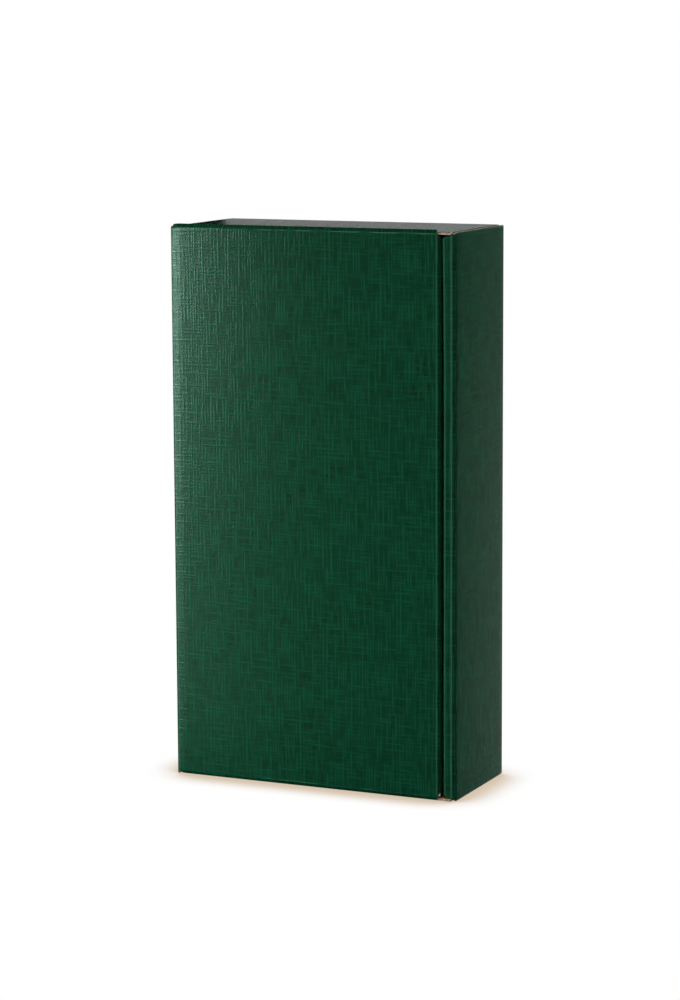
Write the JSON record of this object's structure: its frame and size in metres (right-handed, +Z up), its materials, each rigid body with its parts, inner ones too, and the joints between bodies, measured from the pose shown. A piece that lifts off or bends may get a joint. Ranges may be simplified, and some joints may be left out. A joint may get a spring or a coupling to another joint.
{
  "type": "wine box",
  "caption": "Upright folded-board box for two bottles: a book-opening lid with a tuck flap beside a rolled rim, locked ends and a folded divider inside.",
  "frame": {"origin": "middle of the ground that the box covers, on the bottom end's face", "axes": "+Z up along the box's length, -Y out of the lid's face, -X towards the hinge edge"},
  "size_m": [0.186, 0.08, 0.3404],
  "materials": {
    "covered_board": "green linen-embossed paper outside, raw kraft inside",
    "kraft_board": "raw kraft"
  },
  "bodies": {
    "tray": {"back_panel": "covered_board", "hinge_wall": "covered_board", "rim_wall": "covered_board", "rim_strip": "covered_board", "rim_lining": "covered_board", "top_end_panel": "covered_board", "bottom_end_panel": "covered_board", "top_end_hinge_ear": "covered_board", "top_end_rim_ear": "covered_board", "bottom_end_hinge_ear": "covered_board", "bottom_end_rim_ear": "covered_board", "lid_hinge_fold": "covered_board", "divider_ridge": "kraft_board", "divider_left_web": "kraft_board", "divider_right_web": "kraft_board", "divider_left_foot": "kraft_board", "divider_right_foot": "kraft_board"},
    "lid": {"lid_panel": "covered_board", "tuck_flap_fold": "covered_board"},
    "flap": {"tuck_flap": "covered_board"}
  },
  "joints": [
    {"name": "lid_hinge", "type": "hinge", "parent": "tray", "child": "lid", "pos_m": [-0.09244, -0.03944, 0.1695], "axis": [0, 0, -1], "range_deg": [0, 200]},
    {"name": "tuck_flap_hinge", "type": "hinge", "parent": "lid", "child": "flap", "pos_m": [0.0818, -0.0381, 0.1695], "axis": [0, 0, 1], "range_deg": [0, 75]}
  ]
}
